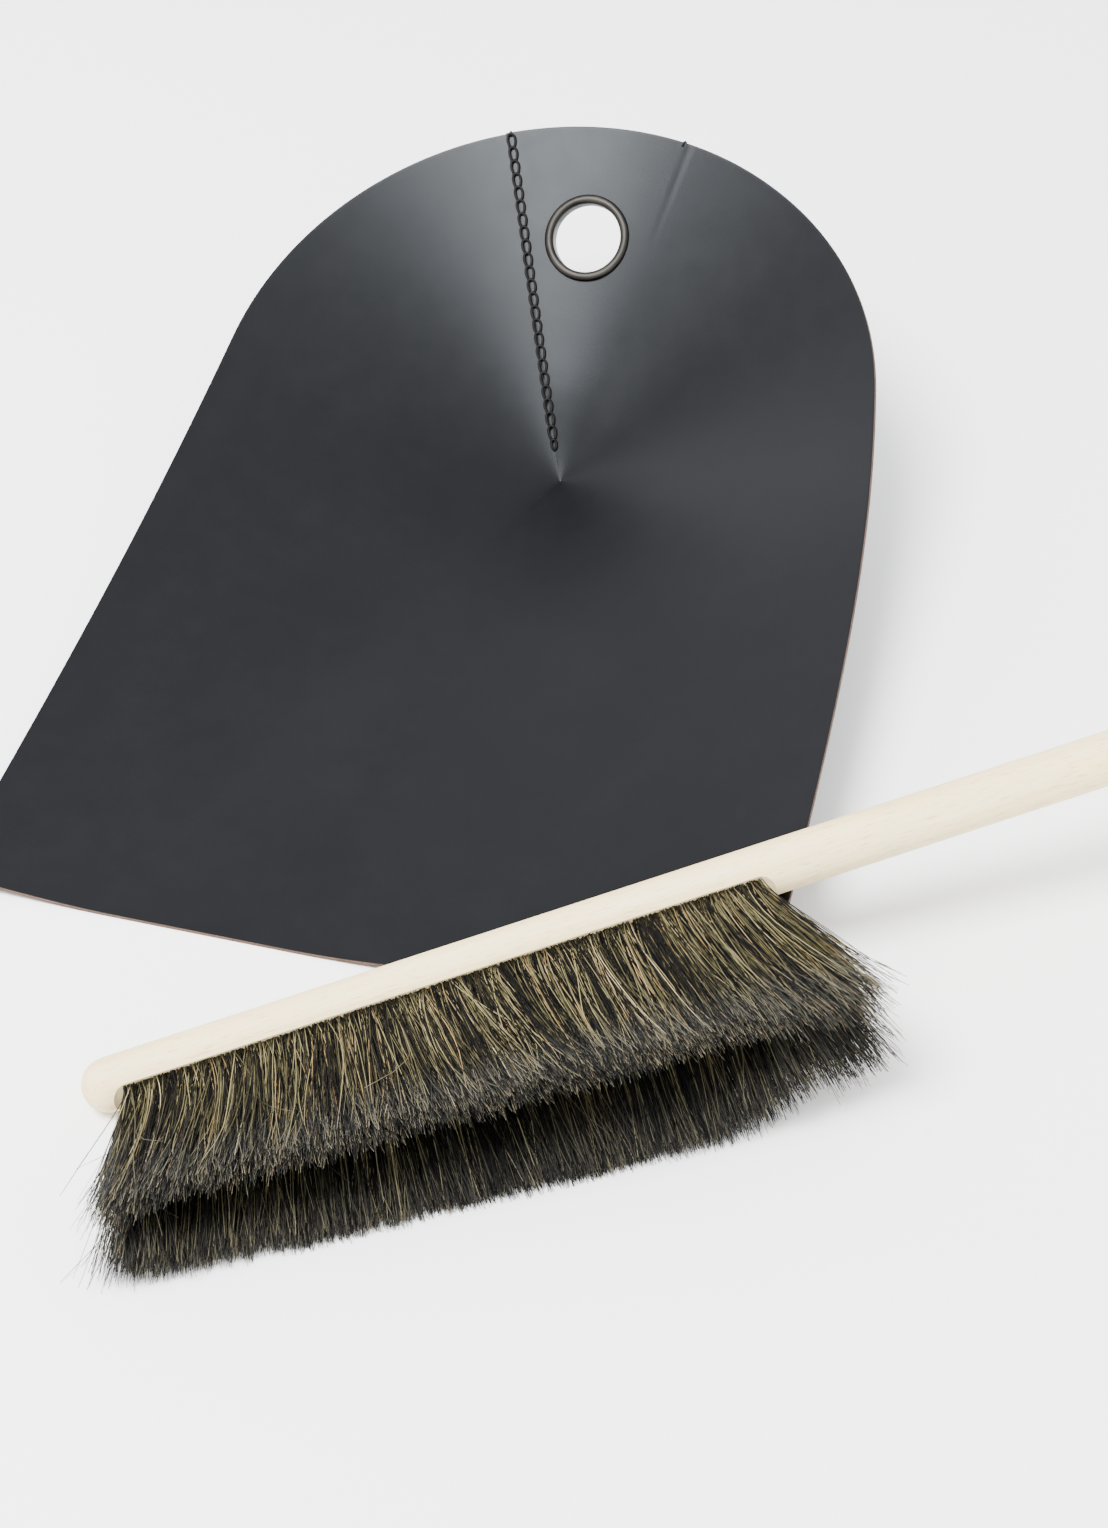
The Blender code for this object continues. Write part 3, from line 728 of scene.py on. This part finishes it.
def settle(obj):
    """Apply the modifiers, and mark the sharp edges."""
    depsgraph = bpy.context.evaluated_depsgraph_get()
    mesh = bpy.data.meshes.new_from_object(obj.evaluated_get(depsgraph))
    obj.modifiers.clear()
    obj.data = mesh
    mesh.shade_smooth()
    mesh.set_sharp_from_angle(angle=SHARP_ANGLE)


def arc(centre, radii, start, end, steps):
    """Points of an ellipse's arc in the (radius, height) plane, angles in degrees."""
    angles = np.radians(np.linspace(start, end, steps))
    return [(centre[0] + radii[0] * math.cos(a), centre[1] + radii[1] * math.sin(a)) for a in angles]


def make_eyelet(material):
    """The flanged barrel with its rolled lower end, and the washer under the sheet."""
    seat = 2.0 * SHEET + GAP + EYELET_SEAT
    barrel = EYELET_BORE + EYELET_WALL
    washer_top = -GAP
    washer_bottom = washer_top - WASHER_THICKNESS
    curl_top = washer_bottom - GAP
    curl_height = 0.0006
    curl_drop = 0.0001
    fillet = (0.0003, 0.0004)
    edge = 0.0002
    flange_middle = 0.5 * (EYELET_BORE + EYELET_FLANGE)
    flange_half = 0.5 * (EYELET_FLANGE - EYELET_BORE)
    curl_middle = 0.5 * (EYELET_BORE + CURL_RADIUS)
    curl_half = 0.5 * (CURL_RADIUS - EYELET_BORE)
    outline = arc((flange_middle, seat), (flange_half, EYELET_HEIGHT), 180.0, 0.0, 15)
    outline += [(EYELET_FLANGE - edge, seat - edge), (barrel + fillet[0], seat - edge),
                (barrel, seat - edge - fillet[1]), (barrel, curl_top), (CURL_RADIUS - edge, curl_top)]
    outline += arc((curl_middle, curl_top - curl_drop), (curl_half, curl_height), 0.0, -180.0, 9)
    ring = lathe("eyelet_ring", outline, segments=128, matrix=eyelet_matrix())
    eyelet = new_piece("eyelet_ring", ring, [material], "pan")
    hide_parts("eyelet")

    outline = [(barrel + GAP, washer_bottom), (barrel + GAP, washer_top),
               (EYELET_FLANGE - edge, washer_top), (EYELET_FLANGE, washer_top - edge),
               (EYELET_FLANGE, washer_bottom + edge), (EYELET_FLANGE - edge, washer_bottom)]
    back = lathe("eyelet_back", outline, segments=96, matrix=eyelet_matrix())
    washer = new_piece("eyelet_back", back, [material], "pan")
    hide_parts("eyelet_washer")


# ------------------------------------------------------------------ seam
def seam_inset(radius):
    """Distance of the stitches from the sewn edge."""
    return mix(*SEAM_INSETS, (radius - SEAM_SPAN[0]) / (SEAM_SPAN[1] - SEAM_SPAN[0]))


def seam_point(radius, lift, aside=0.0):
    return PAN @ pan_point(math.pi - (seam_inset(radius) + aside) / radius, radius, lift)


def link_path(start, pitch, size):
    """One link of the chain: pointed where it leaves the leather, round where the next holds it."""
    path = []
    for step in range(LINK_STEPS + 1):
        turn = 2.0 * math.pi * step / LINK_STEPS
        along = 0.5 - 0.5 * math.cos(turn)
        wide = math.sin(turn) * mix(LINK_NECK, 1.0, along) * size
        radius = start + pitch * LINK_REACH * along * size - LINK_START
        dip = LINK_DIP[0] * ease(1.0 - along / LINK_DIP[1])
        dip -= LINK_ARCH[0] * ease(1.0 - (1.0 - along) / LINK_ARCH[1])
        height = STITCH_THREAD * (0.85 + 0.5 * math.sin(0.5 * turn) ** 2) - dip
        path.append(seam_point(radius, lap_lift(math.pi, radius) + SHEET + height,
                               aside=-0.5 * STITCH_WIDTH * wide))
    return path


def make_seam(material):
    """The chain on the upper face, the running line below, and the loops round the rim."""
    count = round((SEAM_SPAN[1] - SEAM_SPAN[0]) / STITCH_PITCH)
    pitch = (SEAM_SPAN[1] - SEAM_SPAN[0]) / count
    sizes = [FIRST_LINK] + [1.0] * (count - 1)
    links = [link_path(SEAM_SPAN[0] + pitch * (index + 1.0 - size), pitch, size)
             for index, size in enumerate(sizes)]
    chain = thread_piece("seam_chain", links, STITCH_THREAD, material)
    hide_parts("seam_thread")

    runs = []
    for index in range(count):
        path = []
        for step in range(BACK_STEPS + 1):
            share = step / BACK_STEPS
            radius = SEAM_SPAN[0] + pitch * (index + mix(0.10, 0.90, share))
            path.append(seam_point(radius, -0.00030 * math.sin(math.pi * share) - 0.00005))
        runs.append(path)
    thread_piece("seam_back", runs, BACK_THREAD, material)

    proud = 0.0003
    loops = []
    ends = (math.pi - seam_inset(ARCH_RADIUS) / ARCH_RADIUS, SEAM_ANGLE + HIDDEN_KNOT / ARCH_RADIUS)
    for u in ends:
        path = []
        for step in range(KNOT_STEPS + 1):
            turn = math.pi * step / KNOT_STEPS
            radius = ARCH_RADIUS - KNOT_INSET + KNOT_REACH * math.sin(turn)
            lift = mix(-proud, 2.0 * SHEET + GAP + proud, 0.5 + 0.5 * math.cos(turn))
            path.append(PAN @ pan_point(u, radius, lift))
        loops.append(path)
    thread_piece("seam_ends", loops, KNOT_THREAD, material)


# ------------------------------------------------------------------ brush
def brush_matrix():
    """The stick's axis is X from the ball's centre, and the hair leaves it toward -Y."""
    level = Vector((math.sin(BRUSH_AZIMUTH), -math.cos(BRUSH_AZIMUTH), 0.0))
    along = Vector((math.cos(BRUSH_AZIMUTH), math.sin(BRUSH_AZIMUTH), 0.0)) * math.cos(BRUSH_PITCH)
    along.z = math.sin(BRUSH_PITCH)
    up = level.cross(along)
    hair = level * math.cos(BRUSH_ROLL) - up * math.sin(BRUSH_ROLL)
    across = level * math.sin(BRUSH_ROLL) + up * math.cos(BRUSH_ROLL)
    matrix = Matrix((along, -hair, across)).transposed().to_4x4()
    matrix.translation = BALL_POINT + APEX
    return matrix


BRUSH = brush_matrix()
ALONG, BACKWARD, ACROSS = np.array(BRUSH)[:3, :3].T
LEVEL = np.array([math.sin(BRUSH_AZIMUTH), -math.cos(BRUSH_AZIMUTH), 0.0])
RISE = np.array([0.0, 0.0, 1.0])
HEAD = (TUFT_MARGIN, FLAT_LENGTH - TUFT_MARGIN)
TUFT_PITCH = (HEAD[1] - HEAD[0]) / TUFTS
SHARE = np.linspace(0.0, 1.0, STRAND_STEPS + 1)          # along a strand, from root to tip
END_SHARE = np.clip((SHARE - CURL_START) / (1.0 - CURL_START), 0.0, 1.0)


def brush_point(local):
    matrix = np.array(BRUSH)
    return local @ matrix[:3, :3].T + matrix[:3, 3]


def lower_pitch(ground, root, heading):
    """The lowest angle at which the lower row clears the pan and the floor."""
    pitch = LOWER_PITCH
    reach = np.linspace(0.1, 1.0, 14)
    while True:
        aim = heading * math.cos(pitch) + RISE * math.sin(pitch)
        place = root + np.outer(reach * HAIR_LENGTH, aim)
        under = place[:, 2] - mix(*LOWER_HALF, reach)
        if np.all(under >= ground(place[:, 0], place[:, 1]) + ROW_CLEARANCE):
            return pitch
        pitch += PITCH_STEP


class Tuft:
    """One tuft with the loose strands round it. side is 1 in the upper row and -1 in the lower."""

    def __init__(self, rng, ground, side, index):
        self.rng = rng
        self.ground = ground
        self.side = side
        self.count = STRANDS["upper" if side > 0 else "lower"]
        self.centre = HEAD[0] + TUFT_PITCH * (index + 0.5)
        self.part = (self.centre - HEAD[0]) / (HEAD[1] - HEAD[0])
        self.place_roots()
        self.gather_locks()
        self.aim_strands()
        self.bend_strands()
        self.thickness = STRAND_RADIUS * rng.uniform(*THICKNESSES, (self.count, 1)) * (
            1.0 - TAPER * END_SHARE[None] ** 1.5)
        self.tone = mix(rng.random(self.count), rng.random(self.locks)[self.lock], LOCK_TONE)

    def place_roots(self):
        """In the drilled hole, or loose on the flat between two holes."""
        rng, count = self.rng, self.count
        spin = 2.0 * math.pi * rng.random(count)
        spread = HOLE_SPREAD * np.sqrt(rng.random(count))
        self.loose = rng.random(count) < LOOSE_SHARE
        along = rng.uniform(-0.5, 0.5, count) * TUFT_PITCH
        across = rng.uniform(*LOOSE_BAND, count) * self.side
        self.offset = np.where(self.loose, along, spread * np.cos(spin))
        thick = np.where(self.loose, across, spread * np.sin(spin))
        start = np.where(self.loose, -ROOT_LIFT, HOLE_DEPTH) - FLAT_DEPTH
        self.root = brush_point(np.stack(
            [self.centre + self.offset, start, self.side * ROW_OFFSET + thick], axis=-1))

    def gather_locks(self):
        """Strands gather in a few locks, each with a lean, a depth and a length of its own."""
        rng = self.rng
        self.locks = rng.integers(*LOCKS)
        self.lock = rng.integers(0, self.locks, self.count)
        self.lock_lean = rng.normal(0.0, LOCK_LEAN, self.locks)[self.lock]
        self.lock_depth = rng.uniform(*LOCK_DEPTHS, self.locks)[self.lock]
        self.lock_length = rng.uniform(*LOCK_LENGTHS, self.locks)[self.lock]
        self.own = rng.normal(0.0, 1.0, (6, self.count))

    def aim_strands(self):
        """The lean along the stick, and the pitch up or down."""
        rng, count = self.rng, self.count
        lean = np.interp(self.centre + self.offset, *np.array(LEAN).T) + rng.normal(0.0, 1.0)
        if self.side < 0:
            lean = np.where(lean > 0.0, lean * LOWER_LEAN, lean)
        lean = lean + self.lock_lean + STRAND_LEAN * self.own[0]
        lean = lean + HOLE_LEAN * self.offset / HOLE_SPREAD * (1.0 - self.loose)
        self.lean = np.radians(np.clip(lean, -MOST_LEAN, MOST_LEAN))
        if self.side > 0:
            pitch = mix(*UPPER_PITCH, self.part)
        else:
            middle = brush_point(np.array([self.centre, -FLAT_DEPTH, -ROW_OFFSET]))
            average = float(self.lean.mean())
            pitch = lower_pitch(self.ground, middle, LEVEL * math.cos(average) + ALONG * math.sin(average))
        # at both ends the rows fan out toward each other and close the gap between them
        ends = (1.0 - self.part / END_REACH[0], 1.0 - (1.0 - self.part) / END_REACH[1])
        fan = sum(angle * ease(end) for angle, end in zip(END_FANS, ends))
        self.pitch = pitch - self.side * fan * rng.random(count)

    def bend_strands(self):
        """Each strand leaves the flat square, turns to its own direction, and waves a little."""
        rng, count, own = self.rng, self.count, self.own
        half = UPPER_HALF if self.side > 0 else LOWER_HALF[1]
        depth = END_DEPTH[0] * self.lock_depth + END_DEPTH[1] * rng.uniform(-1.0, 1.0, count)
        depth = np.clip(depth, -1.0, 1.0) * half
        length = HAIR_LENGTH * self.lock_length * (1.0 - LENGTH_LOSS * rng.random(count) ** 3)
        stray = rng.random(count) < STRAY_SHARE
        length = np.where(stray, length * rng.uniform(*STRAY_LENGTHS, count), length)
        lean = np.where(stray, self.lean + np.radians(rng.normal(0.0, STRAY_LEAN, count)), self.lean)
        heading = np.outer(np.cos(lean), LEVEL) + np.outer(np.sin(lean), ALONG)
        aim = heading * np.cos(self.pitch)[:, None] + RISE * np.sin(self.pitch)[:, None]
        aside = rng.uniform(-END_ASIDE, END_ASIDE, count) * TUFT_PITCH
        neck = self.root - (HOLE_DEPTH + NECK) * BACKWARD
        tip = neck + aim * length[:, None] + np.outer(depth, ACROSS) + np.outer(aside, ALONG)
        knee = self.root + mix(-BACKWARD, heading, KNEE_TURN) * (KNEE * length)[:, None]
        knee = knee + np.outer(0.25 * depth, ACROSS) + np.outer(1.5 * aside, ALONG)
        s = SHARE[None, :, None]
        path = ((1.0 - s) ** 2 * self.root[:, None] + 2.0 * s * (1.0 - s) * knee[:, None]
                + s ** 2 * tip[:, None])

        grow = SHARE[None] ** 1.3
        phase = SHARE[None] * (4.0 + 2.0 * own[3])[:, None] + (3.0 * own[4])[:, None]
        wave = WAVE * np.abs(own[2])[:, None] * np.sin(phase) * grow
        side_wave = SIDE_WAVE * own[5][:, None] * np.sin(SHARE[None] * 5.0 + own[3][:, None]) * grow
        path = path + wave[:, :, None] * ALONG + side_wave[:, :, None] * ACROSS
        flick = rng.normal(0.0, 1.0, (count, 2)) * FLICK
        flick = np.where(stray[:, None], flick * STRAY_FLICK, flick)
        curl = END_SHARE[None, :, None] ** 1.8
        path = path + curl * (flick[:, :1, None] * ALONG + flick[:, 1:, None] * ACROSS * 0.7)
        if self.side < 0:
            path[:, :, 2] -= DROOP * ease(self.part / DROOP_REACH) * SHARE[None] ** 2
        clear = CLEARANCE[0] + CLEARANCE[1] * rng.random((count, 1))
        clear = self.ground(path[:, :, 0], path[:, :, 1]) + clear
        path[:, :, 2] = np.maximum(path[:, :, 2], clear)
        self.path = path


def make_hair_piece(name, tufts, material):
    """Thin tapered tubes, with each strand's tone and the distance along it as attributes."""
    path = np.concatenate([tuft.path for tuft in tufts])
    thickness = np.concatenate([tuft.thickness for tuft in tufts])
    tone = np.concatenate([tuft.tone for tuft in tufts])
    points, faces = sweep(path, thickness, STRAND_SIDES)
    mesh = smooth_mesh(name, points, faces)
    values = {"tone": np.repeat(tone, len(SHARE) * STRAND_SIDES),
              "along": np.tile(np.repeat(SHARE, STRAND_SIDES), len(tone))}
    for key, value in values.items():
        mesh.attributes.new(key, "FLOAT", "POINT").data.foreach_set("value", value)
    return new_piece(name, mesh, [material], "brush")


def make_hair():
    """Both rows, every strand on its own, in a few pieces along the head."""
    rng = np.random.default_rng(SEED)
    ground = Ground()
    rows = (("upper", 1.0, upper_hair_material()), ("lower", -1.0, lower_hair_material()))
    for row_name, side, material in rows:
        tufts = [Tuft(rng, ground, side, index) for index in range(TUFTS)]
        for group in range(HAIR_GROUPS):
            chosen = tufts[group * TUFTS // HAIR_GROUPS:(group + 1) * TUFTS // HAIR_GROUPS]
            hair = make_hair_piece(f"hair_{row_name}_{group + 1}", chosen, material)
            low, high = group * TUFT_NODES // HAIR_GROUPS, (group + 1) * TUFT_NODES // HAIR_GROUPS
            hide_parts(*[f"tufts_{row_name}_{index + 1:02d}" for index in range(low, high)])


def finish_stock():
    """The CAD stick keeps its shape and gets the beech finish."""
    beech = beech_material(BRUSH)
    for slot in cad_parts["brush_stock"].material_slots:
        slot.material = beech


# ------------------------------------------------------------------ setting
def make_floor():
    bm = bmesh.new()
    bmesh.ops.create_grid(bm, x_segments=1, y_segments=1, size=FLOOR_HALF)
    mesh = bpy.data.meshes.new("floor")
    bm.to_mesh(mesh)
    bm.free()
    mesh.materials.append(floor_material())
    floor = bpy.data.objects.new("floor", mesh)
    bpy.context.scene.collection.objects.link(floor)


def make_camera():
    camera = bpy.data.cameras.new("camera")
    camera.sensor_width = SENSOR
    camera.lens = FOCAL_LENGTH
    view = bpy.data.objects.new("camera", camera)
    view.location = APEX + CAMERA_OFFSET
    view.rotation_euler = (math.pi / 2.0 - CAMERA_DIP, 0.0, 0.0)
    bpy.context.scene.collection.objects.link(view)
    bpy.context.scene.camera = view


def make_light(name, place, target, size, power):
    """A round softbox facing its target."""
    light = bpy.data.lights.new(name, "AREA")
    light.shape = "DISK"
    light.size = size
    light.energy = power
    obj = bpy.data.objects.new(name, light)
    obj.location = place
    obj.rotation_euler = (Vector(target) - Vector(place)).to_track_quat("-Z", "Y").to_euler()
    bpy.context.scene.collection.objects.link(obj)


def make_world():
    """A white studio, brightest toward the front left and above, which the leather reflects."""
    world = bpy.data.worlds.new("studio")
    world.use_nodes = True
    tree = world.node_tree
    sky = tree.nodes["Background"]
    sky.inputs["Strength"].default_value = STUDIO_STRENGTH
    heading = tree.nodes.new("ShaderNodeTexCoord")
    facing = tree.nodes.new("ShaderNodeVectorMath")
    facing.operation = "DOT_PRODUCT"
    facing.inputs[1].default_value = STUDIO_FACING
    ramp = tree.nodes.new("ShaderNodeValToRGB")
    for element, color in zip(ramp.color_ramp.elements, (STUDIO_DIM, STUDIO_BRIGHT)):
        element.color = color
    tree.links.new(heading.outputs["Generated"], facing.inputs[0])
    tree.links.new(facing.outputs["Value"], ramp.inputs["Fac"])
    tree.links.new(ramp.outputs["Color"], sky.inputs["Color"])
    bpy.context.scene.world = world


def main():
    make_floor()
    make_camera()
    make_light("main", (-0.90, -0.72, 2.25), (0.0, 0.12, 0.0), size=1.15, power=206.0)
    make_light("left", (-1.9, 1.5, 1.3), (0.0, 0.05, 0.0), size=1.2, power=9.0)
    make_world()
    make_pan_sheet(leather_material(), edge_material())
    make_eyelet(gunmetal_material())
    make_seam(thread_material())
    finish_stock()
    make_hair()


main()
